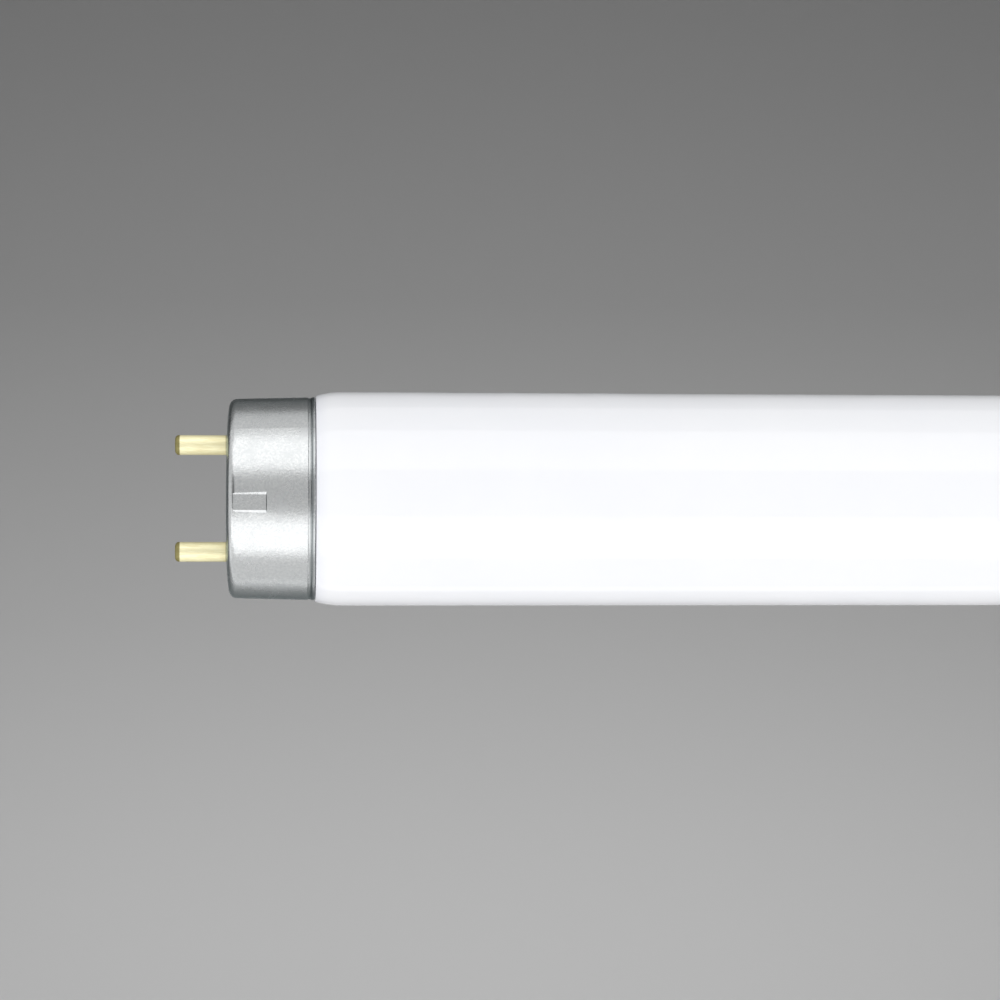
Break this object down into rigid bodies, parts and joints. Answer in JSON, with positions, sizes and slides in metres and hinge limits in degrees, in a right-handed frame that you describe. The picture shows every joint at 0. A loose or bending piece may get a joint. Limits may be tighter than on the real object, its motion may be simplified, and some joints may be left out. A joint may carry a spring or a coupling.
{
  "type": "fluorescent tube",
  "caption": "Straight white fluorescent tube with an aluminium two-pin cap on each end, made to be held and fed by a pair of lampholders.",
  "frame": {"origin": "on the tube's axis, midway between the faces of the two caps", "axes": "+X along the tube towards its right cap, +Z in the plane of the pins of both caps, +Y across the tube away from the picture's camera"},
  "size_m": [0.6008, 0.0254, 0.0254],
  "materials": {
    "coated_glass": "clear glass over an opaque white coating on its inside",
    "cap_aluminium": "satin drawn sheet",
    "pin_brass": "bright drawn",
    "insulator_moulding": "moulded",
    "baked_cement": "rough",
    "nickel_wire": "drawn",
    "tin_solder": "cast, dull"
  },
  "bodies": {
    "root": {"sealed_glass_tube": "coated_glass", "left_cap_shell": "cap_aluminium", "left_insulator": "insulator_moulding", "left_cement_ring": "baked_cement", "left_upper_pin": "pin_brass", "left_upper_lead_wire": "nickel_wire", "left_upper_solder": "tin_solder", "left_lower_pin": "pin_brass", "left_lower_lead_wire": "nickel_wire", "left_lower_solder": "tin_solder", "right_cap_shell": "cap_aluminium", "right_insulator": "insulator_moulding", "right_cement_ring": "baked_cement", "right_upper_pin": "pin_brass", "right_upper_lead_wire": "nickel_wire", "right_upper_solder": "tin_solder", "right_lower_pin": "pin_brass", "right_lower_lead_wire": "nickel_wire", "right_lower_solder": "tin_solder"}
  },
  "joints": []
}
